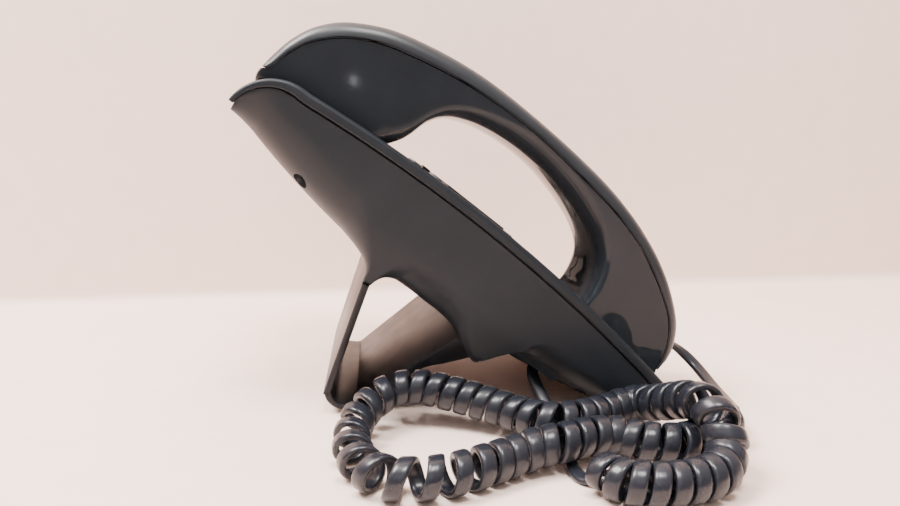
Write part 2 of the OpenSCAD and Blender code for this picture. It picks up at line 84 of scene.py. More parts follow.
def smooth_step(a, b, v):
    """0 up to a, 1 from b on, and an even rise between them."""
    t = min(max((v - a) / (b - a), 0.0), 1.0)
    return t * t * (3 - 2 * t)


def curve(points, t):
    """Catmull-Rom curve through the points; t counts points."""
    last = len(points) - 1
    i = min(int(t), last - 1)
    f = t - i
    a, b, c, d = (np.array(points[min(max(i + k, 0), last)], float) for k in (-1, 0, 1, 2))
    square, cube = 2 * a - 5 * b + 4 * c - d, 3 * b - a - 3 * c + d
    return 0.5 * (2 * b + (c - a) * f + square * f * f + cube * f ** 3)


def trace(points, count):
    """Points along the curve, the same number from each given point to the next."""
    last = len(points) - 1
    return np.array([curve(points, last * k / (count - 1)) for k in range(count)])


def even(points, count):
    """The same line cut into even lengths."""
    points = np.array(points, float)
    run = np.r_[0, np.cumsum(np.linalg.norm(np.diff(points, axis=0), axis=1))]
    want = np.linspace(0, run[-1], count)
    return np.stack([np.interp(want, run, points[:, k]) for k in range(points.shape[1])], axis=1)


def unit(v):
    return v / np.linalg.norm(v)


# ---------------------------------------------------------------- mesh helpers

SHARP = 35  # degrees: an edge that turns more than this is left sharp


def new_mesh(name, verts, faces, sharp=SHARP):
    mesh = bpy.data.meshes.new(name)
    mesh.from_pydata([tuple(v) for v in verts], [], faces)
    obj = bpy.data.objects.new(name, mesh)
    bpy.context.scene.collection.objects.link(obj)
    tidy(obj, sharp)
    return obj


def tidy(obj, sharp=SHARP):
    """Merges doubled points, turns faces outwards, and smooths all but sharp edges."""
    bm = bmesh.new()
    bm.from_mesh(obj.data)
    bmesh.ops.remove_doubles(bm, verts=bm.verts, dist=1e-6)
    bmesh.ops.dissolve_degenerate(bm, edges=bm.edges, dist=1e-7)
    bmesh.ops.recalc_face_normals(bm, faces=bm.faces)
    limit = math.radians(sharp)
    for f in bm.faces:
        f.smooth = True
    for e in bm.edges:
        e.smooth = len(e.link_faces) == 2 and e.calc_face_angle(0) < limit
    bm.to_mesh(obj.data)
    bm.free()


def loft(name, rings, closed=True, caps=True, sharp=SHARP):
    """A skin over rings of equal count."""
    count = len(rings[0])
    verts = [v for ring in rings for v in ring]
    steps = count if closed else count - 1
    faces = []
    for i in range(len(rings) - 1):
        for j in range(steps):
            k = (j + 1) % count
            faces.append((i * count + j, i * count + k, (i + 1) * count + k, (i + 1) * count + j))
    if caps and closed:
        faces.append(tuple(range(count - 1, -1, -1)))
        faces.append(tuple((len(rings) - 1) * count + j for j in range(count)))
    return new_mesh(name, verts, faces, sharp)


def tube(name, path, side, width, height, count=16, square=4.5):
    """A band swept along a path: width lies along the side vectors, height across them.
    count is the points of a section; square goes from 2, an ellipse, up to a squarer section."""
    rings = []
    m = len(path)
    for i in range(m):
        along = unit(path[min(i + 1, m - 1)] - path[max(i - 1, 0)])
        w = unit(side[i] - along * np.dot(side[i], along))
        h = np.cross(along, w)
        ring = []
        for j in range(count):
            a = 2 * math.pi * (j + 0.5) / count
            c, s = math.cos(a), math.sin(a)
            r = (abs(c) ** square + abs(s) ** square) ** (-1 / square)
            ring.append(path[i] + w * (r * c * width / 2) + h * (r * s * height / 2))
        rings.append(ring)
    return loft(name, rings, sharp=60)


def cut(obj, tools, how="DIFFERENCE"):
    """Applies one boolean for each tool and removes the tool."""
    for tool in tools:
        mod = obj.modifiers.new("cut", "BOOLEAN")
        mod.operation = how
        mod.object = tool
        mod.solver = "EXACT"
        apply_modifiers(obj)
        bpy.data.objects.remove(tool)


def apply_modifiers(obj):
    """Makes the modified mesh the object's own."""
    graph = bpy.context.evaluated_depsgraph_get()
    graph.update()
    mesh = bpy.data.meshes.new_from_object(obj.evaluated_get(graph))
    old = obj.data
    obj.modifiers.clear()
    obj.data = mesh
    bpy.data.meshes.remove(old)


# ---------------------------------------------------------------- camera

scene = bpy.context.scene
camera = bpy.data.objects.new("camera", bpy.data.cameras.new("camera"))
scene.collection.objects.link(camera)
camera.data.sensor_width = 36
camera.data.lens = 28.0
camera.data.clip_start = 0.01
CAMERA_PLACE = Vector((-0.3326, 0.0370, 0.1152))
CAMERA_RIGHT = Vector((-0.10517, -0.99443, -0.00697))
CAMERA_AHEAD = Vector((0.98127, -0.10260, -0.16270))
columns = (CAMERA_RIGHT, CAMERA_RIGHT.cross(CAMERA_AHEAD), -CAMERA_AHEAD, CAMERA_PLACE)
camera.matrix_world = Matrix([[column[k] for column in columns] for k in range(3)] + [(0, 0, 0, 1)])
scene.camera = camera

# ---------------------------------------------------------------- cords

random.seed(7)
FLAT_W, FLAT_T = 4.8, 2.4
COIL_W = 5.5
COIL_D = 14.4
COIL_STEPS = 20  # points for each turn
FINE = 1200  # points that the coil's route is measured on
START_ANGLE = math.radians(90)
LOWEST = 1.6  # how near the table the band's middle may come
# At both ends the turns start from this part of their radius, and are full after half a turn.
END_SIZE, END_FROM, END_TO = 0.35, -0.1, 0.55
# Turns differ by this part of the radius, and lie this far off along the route.
UNEVEN_R, UNEVEN_ALONG = 0.012, 0.35

# The route of the curly part; the fourth number is how many turns lie before the next point.
COIL_ROUTE = [
    (-93, -94.5, 8.5, 1.6), (-97, -87.5, 8, 1.7), (-103, -78.5, 7.3, 1.7),
    (-107, -68.5, 7.3, 1.9), (-105, -56.5, 7.5, 1.7), (-101, -46.5, 8.5, 1.5),
    (-103, -36.5, 9.5, 1.6), (-107, -26.5, 9.8, 1.4), (-108, -17.5, 8.8, 1.6),
    (-111, -7.5, 7.5, 1.6), (-116, 2.5, 7.3, 1.5), (-121, 13.5, 7.3, 1.2),
    (-123, 24.5, 7.3, 1.1), (-121, 35.5, 7.3, 1.2), (-112, 43.5, 7.3, 1.3),
    (-98, 47.5, 7.3, 1.3), (-84, 47.5, 8, 1.1), (-74, 44.5, 10.5, 1.1), (-66, 38.5, 13, 1.1),
    (-62, 30.5, 15.2, 1.4), (-62, 20.5, 15.5, 1.5), (-65, 10.5, 14, 1.6), (-69, 0.5, 12, 1.7),
    (-75, -9.5, 10.3, 1.7), (-83, -18.5, 9.8, 1.5), (-89, -26.5, 10, 1.5),
    (-87.5, -36.5, 9.8, 1.7), (-82, -46.5, 8.8, 1.6), (-76, -56.5, 8.8, 1.5),
    (-75, -65.5, 10, 1.2), (-82, -68.5, 12.5, 1.4), (-91, -72, 16.5, 1.2),
    (-99, -74.5, 20, 1.1), (-108, -76, 22, 0.9), (-115.5, -77.5, 20, 0.8),
    (-120, -78, 15.5, 0.6), (-122.5, -78, 12, 0.7), (-126, -75.5, 9.5, 0.9),
    (-130.5, -71.5, 8, 1.4), (-134, -63.5, 7.3, 2.1), (-136, -51.5, 7.3, 1.6),
    (-134, -42.5, 7.3, 1.2), (-130, -37.5, 7.3, 1.2), (-124, -33.5, 7.3, 0)]


def curly(name, route, band_w, band_t, diameter):
    """A left-handed coil of flat band round a route, with small seeded irregularities."""
    points = [p[:3] for p in route]
    turns = np.r_[0, np.cumsum([p[3] for p in route[:-1]])]
    count = int(turns[-1] * COIL_STEPS) + 1
    radius = (diameter - band_t) / 2
    fine = trace(points, FINE)
    knots = np.linspace(0, len(points) - 1, FINE)
    wound = np.interp(knots, range(len(points)), turns)
    wind = np.linspace(0, turns[-1], count)
    axis = np.stack([np.interp(wind, wound, fine[:, k]) for k in range(3)], axis=1)
    ahead = np.gradient(axis, axis=0)
    ahead /= np.linalg.norm(ahead, axis=1)[:, None]
    # ref is carried along the route without twist
    ref = unit(np.cross(ahead[0], [0, 0, 1.0]))
    path, sides = [], []
    wobble = [random.uniform(-1, 1) for _ in range(int(turns[-1]) + 3)]
    for i in range(count):
        ref = unit(ref - ahead[i] * np.dot(ref, ahead[i]))
        third = np.cross(ahead[i], ref)
        angle = -2 * math.pi * wind[i] + START_ANGLE
        turn = int(wind[i])
        w = wobble[turn] + (wobble[turn + 1] - wobble[turn]) * (wind[i] - turn)
        full = min(smooth_step(END_FROM, END_TO, v) for v in (wind[i], turns[-1] - wind[i]))
        r = radius * (END_SIZE + (1 - END_SIZE) * full) * (1 + UNEVEN_R * w)
        out = ref * math.cos(angle) + third * math.sin(angle)
        point = axis[i] + out * r + ahead[i] * UNEVEN_ALONG * w * math.sin(angle * 0.5)
        point[2] = max(point[2], LOWEST)
        path.append(point)
        sides.append(out)
    path, sides = np.array(path), np.array(sides)
    along = np.gradient(path, axis=0)
    across = np.cross(along, sides)
    return tube(name, path * MM, across, band_w * MM, band_t * MM), path * MM


coil, coil_path = curly("curly_cord", COIL_ROUTE, COIL_W, FLAT_T, COIL_D)

HANDSET_TAIL = [
    (-36, -90.4, 25.2), (-36.5, -95, 21.8), (-38, -100.5, 17.5), (-42, -104.5, 13),
    (-50, -106, 9.5), (-60, -105.5, 8), (-70, -104, 8), (-80, -101.5, 9), (-87.5, -98.6, 10.5),
    (-91.6, -96, 11)]
BASE_TAIL = [
    (-52, -28.7, 22), (-53, -27.2, 19.2), (-56, -26.6, 15.8), (-61, -29, 9.5), (-66, -31, 5),
    (-72, -31.5, 2.3), (-82, -31, 1.9), (-92, -30.5, 1.8), (-104, -29.5, 1.8),
    (-112, -28.5, 1.8), (-119, -30.3, 1.9), (-124, -33.5, 2)]


TAIL_POINTS = 60
TWIST_OVER = 0.2  # the part of a tail's length that its twist takes


def flat_cord(name, route, end, first, ref):
    """A flat cord along a route that ends on the coil's end. Its flat side faces first at the
    start, and ref from the end of its twist on."""
    route = [np.array(p, float) for p in route]
    route[-1] = end
    path = even(trace(route, 400), TAIL_POINTS)
    first, ref = np.array(first, float), np.array(ref, float)
    sides = []
    for i in range(TAIL_POINTS):
        along = path[min(i + 1, TAIL_POINTS - 1)] - path[max(i - 1, 0)]
        facing = first + (ref - first) * smooth_step(0.0, TWIST_OVER, i / TAIL_POINTS)
        sides.append(np.cross(along, facing))
    return tube(name, path * MM, np.array(sides), FLAT_W * MM, FLAT_T * MM), path * MM


handset_tail, handset_tail_path = flat_cord(
    "handset_tail", HANDSET_TAIL, coil_path[0] / MM, (0, 0, 1), (-0.5, 0, 0.87))
base_tail, base_tail_path = flat_cord(
    "base_tail", BASE_TAIL, coil_path[-1] / MM, (-0.6, 0, 0.8), (-0.6, 0, 0.8))


worn = []


def wear(piece, slot):
    """Notes a new piece's material slot; its material is set once all pieces are made."""
    worn.append((piece, slot))


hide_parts("cord_coil")
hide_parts("cord_handset_tail")
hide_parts("cord_base_tail")
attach(coil, "base")
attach(base_tail, "base")
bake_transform(handset_tail)
for piece in (coil, handset_tail, base_tail):
    wear(piece, "cord")

# ---------------------------------------------------------------- handset

HANDSET_X = -36.0
HANDSET_HALF = 24.0
COVER_ROUND = 6.5
COVER_BULGE, SHELL_BULGE = 0.9, 0.5
SHELL_INSET = 0.3  # the shell is this much narrower than the cover at each side


def section(base, tip, half, round_x, round_h, bulge):
    """A closed ring in the face frame, flat along base and rounded at tip; both are (s, n)."""
    base, tip = np.array(base, float), np.array(tip, float)
    rise = max(np.linalg.norm(tip - base), 0.05)
    way = (tip - base) / rise
    drop = min(round_h, rise * 0.9)
    side = [(half, 0.0), (half, (rise - drop) * 0.5)]
    for k in range(11):
        a = math.pi / 2 * k / 10
        x = half - round_x * (1 - math.cos(a))
        side.append((x, rise - drop + drop * math.sin(a) - bulge))
    inner = half - round_x
    top = [(-inner * (1 - k / 4), rise - bulge * (1 - k / 4) ** 2) for k in range(1, 8)]
    ring = []
    for x, h in [(-x, h) for x, h in side] + top + side[::-1]:
        s, n = base + way * h
        ring.append(face(HANDSET_X + x, s, n))
    return ring


# Each row: the cover's top line, then the seam, as (s, n, s, n).
COVER = [
    (-15.6, -2, -13.6, -1.9), (-14.9, 4, -11.3, 1.4), (-12.6, 14, -8.9, 9.6),
    (-7.5, 24, -4.2, 17.8), (2, 33.2, 6, 27.2), (20, 42, 22, 34.5), (50, 48.3, 51.5, 41.1),
    (82, 49.4, 82, 43.4), (115, 47.6, 111, 41.3), (135, 44.3, 130, 38.9), (150, 40, 146, 35),
    (163, 34.4, 157, 30.3), (174, 27.7, 168, 24.6), (183, 20, 176.5, 18.6),
    (187.8, 12.5, 182.3, 11.2), (189.6, 6, 184.6, 5.6), (189.4, 2.5, 185.6, 2.6),
    (188.9, -0.8, 186.2, -0.6)]
# Each row: the shell's upper edge, then its underside, as (s, n, s, n), and how far the rounded
# corner of its underside reaches in from the side.
SHELL = [
    (-13.6, -2.9, -14.7, -3.4, 2), (-12.2, -1, -14.4, -6.4, 3), (-9.6, 6, -12.6, -8.8, 4),
    (-4.8, 15.5, -5, -9, 5), (4.5, 25, 8, -9, 5), (16, 31.3, 22, -9, 5),
    (28, 35.2, 33, -6.5, 6), (35, 36.8, 38.2, 1.5, 6), (40, 38, 42.6, 7.4, 6),
    (45, 39, 44.8, 12.4, 7), (51, 40, 46.6, 18.8, 9), (57, 41, 50, 24.4, 11),
    (63, 42, 56, 29, 12), (72, 42.6, 66, 32.6, 12), (82, 42.7, 79.7, 34.5, 12),
    (95, 41.9, 95, 34.4, 12), (108, 40.8, 108, 32.2, 12), (118, 39.7, 119, 29.2, 12),
    (127, 38.4, 128, 25.6, 12), (134, 37, 134.6, 21.2, 12), (140, 35.3, 138.6, 16.4, 11),
    (146, 33, 140.9, 10.2, 9), (152, 30.3, 141.6, 4.5, 8), (155, 29, 142.6, -3, 6),
    (159, 27, 147, -8.6, 5), (166, 23.6, 158, -9, 5), (174, 18.5, 170, -9, 5),
    (180, 12.5, 179, -9, 5), (183.3, 7, 184.2, -7.5, 4), (185.0, 2.2, 186.4, -5, 3),
    (185.7, -1, 186.8, -2.8, 1.0)]
SEAM_GAP = 0.5
seam_line = trace([r[2:] for r in COVER], 600)
seam_run = np.gradient(seam_line, axis=0)


def under_seam(place):
    """The point just inside the seam nearest to a place."""
    k = int(np.argmin(np.linalg.norm(seam_line - np.array(place), axis=1)))
    along = unit(seam_run[k])
    return seam_line[k] + SEAM_GAP * np.array([along[1], -along[0]])


cover_rings = [section(r[2:], r[:2], HANDSET_HALF, COVER_ROUND, COVER_ROUND, COVER_BULGE)
               for r in trace(COVER, 110)]
handset_cover = loft("handset_cover_skin", cover_rings)
shell_rows = trace([(*under_seam(r[:2]), *r[2:]) for r in SHELL[:-2]] + SHELL[-2:], 170)
shell_rings = [section(r[:2], r[2:4], HANDSET_HALF - SHELL_INSET, r[4], min(r[4], 8), SHELL_BULGE)
               for r in shell_rows]
handset_shell = loft("handset_shell_skin", shell_rings)
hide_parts("handset_cover")
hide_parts("handset_shell")
for piece, slot in ((handset_cover, "handset_outer"), (handset_shell, "handset_inner")):
    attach(piece, "handset")
    wear(piece, slot)

# ---------------------------------------------------------------- housings

HALF = 66.0
RIM, RIM_TIP = 4.2, 2.9
GROOVE = 0.5
SKIN = 2.5
REAR_WALL = 2.0
# The top end curls over a cylinder and grows thinner; the front end turns round a small one.
CURL_S, CURL_N, CURL_R, CURL_TAPER = 4.5, -19, 20, 0.55
TIP_S, TIP_N, TIP_R = 199, -8.1, 3.2
CURL_STEPS, CURL_STEP = 23, 4  # how many steps, and the degrees of each
TIP_STEPS, TIP_STEP = 13, 10
EDGE_R = 2.0  # the round of the face's outer edge
SIDE_GAP = 0.5  # the rear housing is this much narrower than the face at each side


def thinning(a):
    """How much of the full thickness is left at angle a of the curled top end."""
    return 1 - CURL_TAPER * (a - 90) / 90


def curl(a, off):
    """A point of the curled top end at angle a, this far under its skin."""
    r = CURL_R - off * thinning(a)
    return CURL_S + r * math.cos(math.radians(a)), CURL_N + r * math.sin(math.radians(a))


def face_stations():
    """(s, n), inward normal and thinning, from the top end over the crown to the front tip."""
    rows = []
    for k in range(CURL_STEPS):
        a = 180 - CURL_STEP * k
        inward = (-math.cos(math.radians(a)), -math.sin(math.radians(a)))
        rows.append((curl(a, 0), inward, thinning(a)))
    for k in range(64):
        s = 6.5 + 3.02 * k
        slope = -(s - CROWN_S) / CROWN_R
        rows.append(((s, crown(s)), tuple(unit(np.array([slope, -1.0]))), 1.0))
    for k in range(1, TIP_STEPS + 1):
        a = math.radians(90 - TIP_STEP * k)
        c, s = math.cos(a), math.sin(a)
        rows.append(((TIP_S + TIP_R * c, TIP_N + TIP_R * s), (-c, -s), 1.0))
    return rows


def front_ring(place, inward, thin, tip):
    """The face's skin with a rim turned down at both sides and a rounded outer edge."""
    rim = (RIM_TIP if tip else RIM) * thin
    skin = SKIN * thin
    half = [(HALF - SKIN, skin), (HALF - SKIN, rim), (HALF - 0.35, rim), (HALF, rim - 0.4)]
    for k in range(7):
        a = math.pi / 2 * k / 6
        x = HALF - EDGE_R + EDGE_R * math.cos(a)
        half.append((x, (EDGE_R - EDGE_R * math.sin(a)) * thin))
    flat = [(HALF * (0.94 - 0.235 * k), 0.0) for k in range(1, 8)]
    outline = half + flat + [(-x, off) for x, off in reversed(half)]
    return [face(x, place[0] + inward[0] * off, place[1] + inward[1] * off) for x, off in outline]


rows = face_stations()
first_tip = len(rows) - TIP_STEPS
front = loft("front_skin", [front_ring(*row, k >= first_tip) for k, row in enumerate(rows)])


def block(name, x, s, n, radius=0.0):
    """A box in the face frame; radius rounds its upright edges."""
    (x0, x1), (s0, s1) = x, s
    r = max(radius, 0.01)
    rings = []
    for level in n:
        ring = []
        for cx, cs, a0 in ((x1 - r, s1 - r, 0), (x0 + r, s1 - r, 90),
                           (x0 + r, s0 + r, 180), (x1 - r, s0 + r, 270)):
            for k in range(5 if radius else 1):
                a = math.radians(a0 + (22.5 * k if radius else 45))
                off = r if radius else r * math.sqrt(2)
                ring.append(face(cx + off * math.cos(a), cs + off * math.sin(a), level))
        rings.append(ring)
    return loft(name, rings)


def around(x, s, half_x, half_s, radius, n=(-8, 20), name="key_hole"):
    """A block with its middle at x, s."""
    return block(name, (x - half_x, x + half_x), (s - half_s, s + half_s), n, radius)


# Under both ends of the handset the face has a well with walls of its own.
WELL_GAP, WELL_WALL = 0.6, 2
WELL_X = (HANDSET_X - HANDSET_HALF - WELL_GAP, HANDSET_X + HANDSET_HALF + WELL_GAP)
WELL_OUT = (WELL_X[0] - WELL_WALL, WELL_X[1] + WELL_WALL)
# The wells' walls rise in steps that stay inside the curved face: (from s, to s, top n).
WELL_WALLS = [
    (-6, 3, -4), (2, 21, 0), (20, 49, 2.2), (139, 150, 0.8), (149, 162, 0.2), (161, 176, -1.4),
    (175, 186, -2.9), (185, 193, -4.2)]
cut(front, [block("well_wall", WELL_OUT, (w[0], w[1]), (-12, w[2])) for w in WELL_WALLS], "UNION")

# The keys lie in rows about KEY_X: the soft keys, the dialling keys, then one key each side.
KEY_X = 26.0
SOFT_PITCH, SOFT_S = 13.6, 58.5
DIAL_PITCH_X, DIAL_PITCH_S, DIAL_TOP_S = 18, 14.5, 97
SIDE_KEY_X, SIDE_KEY_S = 19.5, 163
# The loudspeaker's slots, in a raised field.
SLOTS, SLOT_S, SLOT_PITCH, SLOT_LENGTH, SLOT_WIDTH = 5, 73, 5, 30, 2


def dial_key(k):
    """Where the middle of a dialling key lies: x, s."""
    return KEY_X + (k % 3 - 1) * DIAL_PITCH_X, DIAL_TOP_S + (k // 3) * DIAL_PITCH_S


holes = [
    block("ear_well", WELL_X, (-30, 47), (-10, 40), 1.2),
    block("mouth_well", WELL_X, (141, 191), (-10, 40), 1.2),
    around(HANDSET_X, 59.2, 5, 2, 0.3, (-4, 30), "tab_slot"),
    block("plunger_hole", (HANDSET_X - 4, HANDSET_X + 4), (20, 28), (-14, -8), 3.9),
    block("window_seat", (KEY_X - 27.2, KEY_X + 27.2), (8.8, 48.2), (2.0, 20), 2),
    block("display_hole", (KEY_X - 24, KEY_X + 24), (12, 45), (-8, 20), 1),
    around(KEY_X, 2.75, 8, 1.85, 1, (-9, 9), "lamp_slot"),
    block("scroll_hole", (KEY_X - 17.35, KEY_X + 17.35), (67.65, 86.35), (-8, 20), 5.2),
    block("volume_hole", (KEY_X - 10.35, KEY_X + 10.35), (159.15, 166.85), (-8, 20), 2.6)]
holes += [around(*dial_key(k), 7.35, 5.1, 2.2) for k in range(12)]
holes += [around(KEY_X + (k - 1.5) * SOFT_PITCH, SOFT_S, 5.85, 3.35, 1.7) for k in range(4)]
holes += [around(KEY_X + side * SIDE_KEY_X, SIDE_KEY_S, 5.85, 4.35, 2.2) for side in (-1, 1)]
slot_x = (HANDSET_X - SLOT_LENGTH / 2, HANDSET_X + SLOT_LENGTH / 2)
for k in range(SLOTS):
    s = SLOT_S + SLOT_PITCH * k
    holes.append(block("slot", slot_x, (s, s + SLOT_WIDTH), (-4, 20), 0.9))
cut(front, [around(HANDSET_X, 84, 16, 14.5, 1.5, (4, 6.3), "grille")], "UNION")
cut(front, holes)
tidy(front)
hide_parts("front_housing")

# The rear housing: its lower line has two ridges, where its side walls run down into the stand.
LOWER = [
    (50, -35.1), (54, -35.8), (58, -36.9), (61.5, -38.8), (63.6, -41.6), (64.7, -44.8),
    (68, -44.5), (68.7, -42), (70.4, -39.4), (73.2, -37.8), (78, -37.3), (92, -37.6),
    (101, -37.7), (106, -38.6), (110.4, -40.7), (120.6, -44.4), (124, -40.6), (127, -36.6),
    (130, -35.6), (134, -35.2)]
# How far the rounded lower corner reaches up the side wall.
CORNER = [
    (-14, 18), (46, 18), (54, 11), (60, 6), (64, 4), (68, 4), (71, 8), (76, 13), (84, 15),
    (96, 15), (104, 11), (110, 7), (118, 4), (124, 4)]
# The crease below the side wall, from RIDGE_S on: where it lies, how far in the belly's corner
# reaches, and how much of a crease is left. Up to RIDGE_S the corner is a plain round.
RIDGE_S = 122.5
CREASE = [
    (121, -44.0, 3, 1.0), (124, -39.8, 4, 1.0), (127, -35.3, 6, 1.0), (130, -31.2, 10, 0.9),
    (133, -27.2, 14, 0.6), (137, -22.4, 17, 0.2), (141, -19.0, 18, 0.0), (200, -17.4, 18, 0.0)]


def level_n(s, z):
    """The height n of a level plane z at s."""
    return (z - FACE_Z + s * math.sin(TILT)) / math.cos(TILT)


lower_line = trace(LOWER, 400)


def lower_n(s):
    """The rear housing's lower line; towards the front it stays just above the table."""
    if LOWER[0][0] < s < LOWER[-1][0]:
        return float(np.interp(s, lower_line[:, 0], lower_line[:, 1]))
    return max(belly(s), level_n(s, 1.0)) if s > 100 else belly(s)


def table(rows, s, column):
    """A column of a table at s."""
    return float(np.interp(s, [r[0] for r in rows], [r[column] for r in rows]))


curl_line = sorted(curl(180 - CURL_STEP * k, RIM + GROOVE) for k in range(CURL_STEPS))


def seam_n(s):
    """The rear housing's upper edge, a groove below the rim."""
    if s > 6:
        return crown(s) - RIM - GROOVE
    return float(np.interp(s, [p[0] for p in curl_line], [p[1] for p in curl_line]))


def rear_ring(s, flat=False):
    """A line round the body: a tongue behind the rim, the side wall, the corner and the belly,
    and the same again on the other side. A flat one closes an end of the body."""
    top, low = seam_n(s), lower_n(s)
    if flat:
        low = top - 0.05
    half = HALF - SIDE_GAP
    if s < RIDGE_S:
        r = min(table(CORNER, s, 1), (top - low) * 0.96)
        edge, reach, crisp = low + r, r, 0.0
    else:
        edge, reach, crisp = (table(CREASE, s, k) for k in (1, 2, 3))
        edge = min(max(edge, low + 0.3), top - (top - low) * 0.04)
    side = [(half - 2.5, top + 1.5), (half - 2.5, top), (half - 0.5, top), (half, top - 0.4)]
    for k in range(1, 10):
        side.append((half, top + (edge - top) * k / 10))
    for k in range(15):
        t = k / 14
        a = math.pi / 2 * t
        into = (1 - crisp) * (1 - math.cos(a)) + crisp * t
        down = (1 - crisp) * math.sin(a) + crisp * t ** 1.6
        side.append((half - reach * into, edge + (low - edge) * down))
    for k in range(1, 6):
        side.append(((half - reach) * (1 - k / 6), low))

    def narrow(x, n):
        """The walls lean in a little towards the belly."""
        return x * (1 - 0.048 * smooth_step(-24, -44, n)), s, n

    ring = [face(*narrow(-x, n)) for x, n in side] + [face(*narrow(0, low))]
    return ring + [face(*narrow(x, n)) for x, n in reversed(side)]


REAR_SHARP = 50
REAR_TOP, REAR_FRONT = -13.15, 195.4
stations = [-13.1, -12.6, -11.8, *np.arange(-10.5, 50, 1.5), *np.arange(50, 140, 0.6),
            *np.arange(140, 194, 1.5), 194.6, 195.3]
rear_rings = [rear_ring(REAR_TOP, True), *(rear_ring(s) for s in stations),
              rear_ring(REAR_FRONT, True)]
rear = loft("rear_skin", rear_rings, closed=False, caps=False, sharp=REAR_SHARP)
thick = rear.modifiers.new("wall", "SOLIDIFY")
thick.thickness = REAR_WALL * MM
middle = Vector(face(0, 90, -15))
outward = sum(p.area * p.normal.dot(p.center - middle) for p in rear.data.polygons)
thick.offset = -1 if outward > 0 else 1
# thinner at both ends, where the loops crowd together
depth = rear.vertex_groups.new(name="depth")
for v in rear.data.vertices:
    s = -(v.co.y / MM - FACE_Y) * math.cos(TILT) - (v.co.z / MM - FACE_Z) * math.sin(TILT)
    inside = smooth_step(-4, 10, s) * smooth_step(-193, -180, -s)
    depth.add([v.index], 0.1 + 0.9 * inside, "REPLACE")
thick.vertex_group = "depth"
apply_modifiers(rear)
cut(rear, [block("recess_box", (-62.5, -44), (127, 152), (-31, -23))], "UNION")
cut(rear, [block("recess", (-60, -46), (129, 150), (-50, -25), 1.0),
           block("plug_hole", (-56.1, -47.9), (140.7, 147.3), (-26, -20)),
           around(-8, 90, 7.1, 6.3, 0, (-50, -30), "network_1"),
           around(10, 90, 7.1, 6.3, 0, (-50, -30), "network_2"),
           around(27, 90, 5.7, 5.7, 5.6, (-50, -30), "power_hole")]
    + [around(x, s, 3.3, 3.3, 3.2, (-55, -20), "screw_recess")
       for x in (-56, 57) for s in (22, 166)])
tidy(rear, REAR_SHARP)
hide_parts("rear_housing")

# ---------------------------------------------------------------- stand

# Each row: the strap's outer line, then its inner line, as (y, z, y, z), from the rear ridge
# round to the front ridge.
STRAP = [
    (43.4, 58.9, 40.7, 57.2), (45.2, 54, 42.4, 53), (59.9, 13.6, 57.1, 12.6),
    (60.7, 10, 57.7, 10), (60.2, 6.9, 57.4, 8.1), (58.4, 4.1, 56.2, 6.0), (55.5, 2, 54.4, 4.7),
    (51.7, 1, 51.2, 4.05), (47, 1, 47.9, 4.05), (44.4, 2.3, 46.2, 5.1),
    (22.5, 18.3, 24.3, 20.9), (10.5, 21.6, 15, 27.6), (3.5, 23.2, 9.4, 31.6),
    (-0.6, 24.3, 5.2, 34.6)]
STRAP_ROUND = 0.9
STRAP_HALF, STRAP_FLARE = 46.5, 15.5 / 58  # half width at the table, and its growth with height


def strap_ring(row):
    """A section across the strap with small round edges, wider the higher it lies."""
    outer, inner = np.array(row[:2]), np.array(row[2:])
    gap = np.linalg.norm(inner - outer)
    r = min(STRAP_ROUND, gap * 0.3)
    ring = []
    for side, near, far in ((-1, outer, inner), (1, inner, outer)):
        for start, end, steps in ((near, far, range(4)), (far, near, range(3, -1, -1))):
            for k in steps:
                a = math.pi / 2 * k / 3
                y, z = start + (end - start) / gap * r * (1 - math.cos(a))
                half = STRAP_HALF + STRAP_FLARE * z - r * (1 - math.sin(a))
                ring.append((side * half * MM, y * MM, z * MM))
    return ring


stand = loft("stand_strap", [strap_ring(r) for r in trace(STRAP, 90)])
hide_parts("stand")
for piece, slot in ((front, "housing"), (rear, "housing"), (stand, "stand")):
    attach(piece, "base")
    wear(piece, slot)

# ---------------------------------------------------------------- digits

SIGNS = "123456789*0#"
KEY_NAMES = [*"123456789", "star", "0", "hash"]
SIGN_HEIGHT = 5.5
SIGN_PROUD = 0.04


def digit(sign, node, x, s):
    """One moulded-in sign on a key's top, as a thin mesh that rides with its key."""
    words = bpy.data.curves.new("sign", "FONT")
    words.body = sign
    words.size = SIGN_HEIGHT * MM
    words.extrude = SIGN_PROUD * MM
    words.align_x = words.align_y = "CENTER"
    words.resolution_u = 4
    holder = bpy.data.objects.new("sign", words)
    scene.collection.objects.link(holder)
    bpy.context.view_layer.update()
    graph = bpy.context.evaluated_depsgraph_get()
    flat = bpy.data.meshes.new_from_object(holder.evaluated_get(graph))
    bpy.data.objects.remove(holder)
    down = Vector(face(0, 0, -1)) - Vector(face(0, 0, 0))
    _, place, _, _ = nodes[node].ray_cast(Vector(face(x, s, 30)), down.normalized())
    c, d = math.cos(TILT), math.sin(TILT)
    flat.transform(Matrix((
        (1, 0, 0, place.x), (0, c, -d, place.y), (0, d, c, place.z), (0, 0, 0, 1))))
    obj = bpy.data.objects.new("sign_" + node, flat)
    scene.collection.objects.link(obj)
    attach(obj, node + "_body")
    wear(obj, "mat")


for k in range(12):
    digit(SIGNS[k], "key_" + KEY_NAMES[k], *dial_key(k))

# ---------------------------------------------------------------- materials

PLASTIC_IOR = 1.46
COAT_ROUGH = 0.06
NOISE_RANGE = (0.3, 0.7)  # most of a noise lies in it
PATCH, GLOSS_PATCH, SMEAR_PATCH = 18, 9, 14  # sizes of uneven colour and gloss, in mm


def map_range(tree, value, source, result):
    """A node that turns the source range, (low, high), into the result range."""
    node = tree.nodes.new("ShaderNodeMapRange")
    for sort, (low, high) in (("From", source), ("To", result)):
        node.inputs[sort + " Min"].default_value = low
        node.inputs[sort + " Max"].default_value = high
    tree.links.new(value, node.inputs["Value"])
    return node.outputs["Result"]


